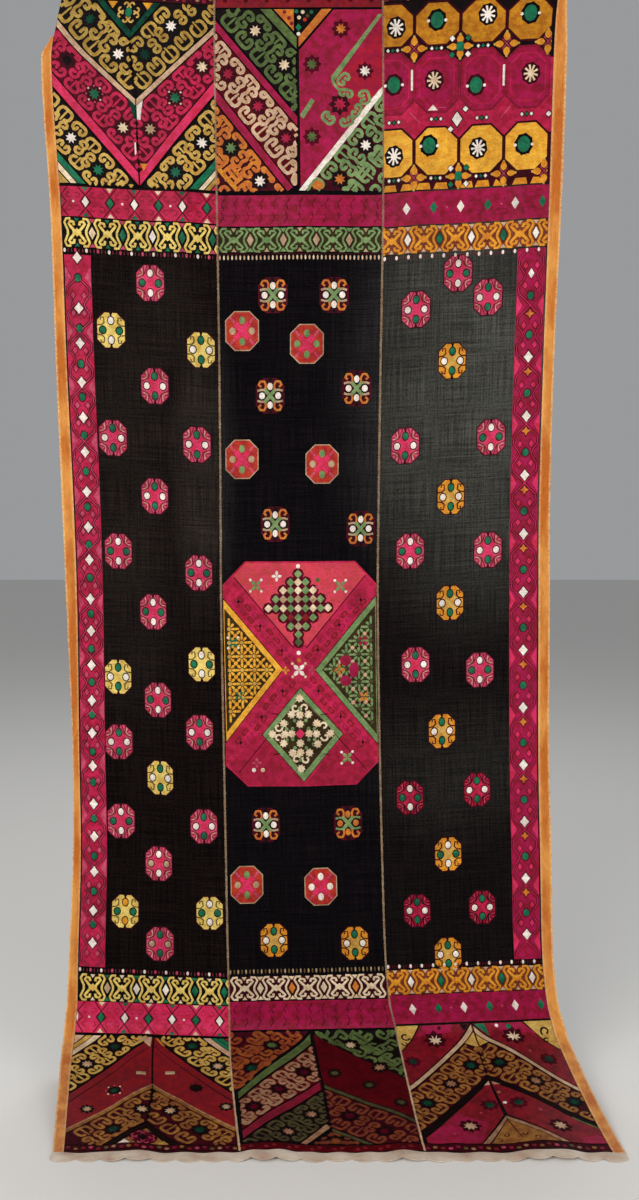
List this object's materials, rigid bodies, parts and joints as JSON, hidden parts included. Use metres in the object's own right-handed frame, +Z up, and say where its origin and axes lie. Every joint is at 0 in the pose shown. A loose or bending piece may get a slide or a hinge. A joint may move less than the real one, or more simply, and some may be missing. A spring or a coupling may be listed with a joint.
{
  "type": "phulkari shawl on a hanging rod",
  "caption": "Long three-strip embroidered shawl hung over a plain round rod, its side bindings and scalloped end edging reaching the floor.",
  "frame": {"origin": "middle of the rod's axis", "axes": "+Z up, -Y the side that the shawl's face looks to, +X to the right of someone who looks at that face, along the rod"},
  "size_m": [1.113, 0.4341, 2.1017],
  "materials": {
    "black_cotton_left": "matte black cotton, slightly brown, with dense silk floss embroidery",
    "black_cotton_centre": "matte deep black cotton with dense silk floss embroidery",
    "black_cotton_right": "matte charcoal cotton, loosely woven, with dense silk floss embroidery",
    "orange_binding": "soft orange cotton binding",
    "white_edging": "off-white cotton edging",
    "rod_wood": "plain satin wood"
  },
  "bodies": {
    "root": {"left_panel": "black_cotton_left", "centre_panel": "black_cotton_centre", "right_panel": "black_cotton_right", "left_binding": "orange_binding", "right_binding": "orange_binding", "end_edging": "white_edging", "rod": "rod_wood"}
  },
  "joints": []
}
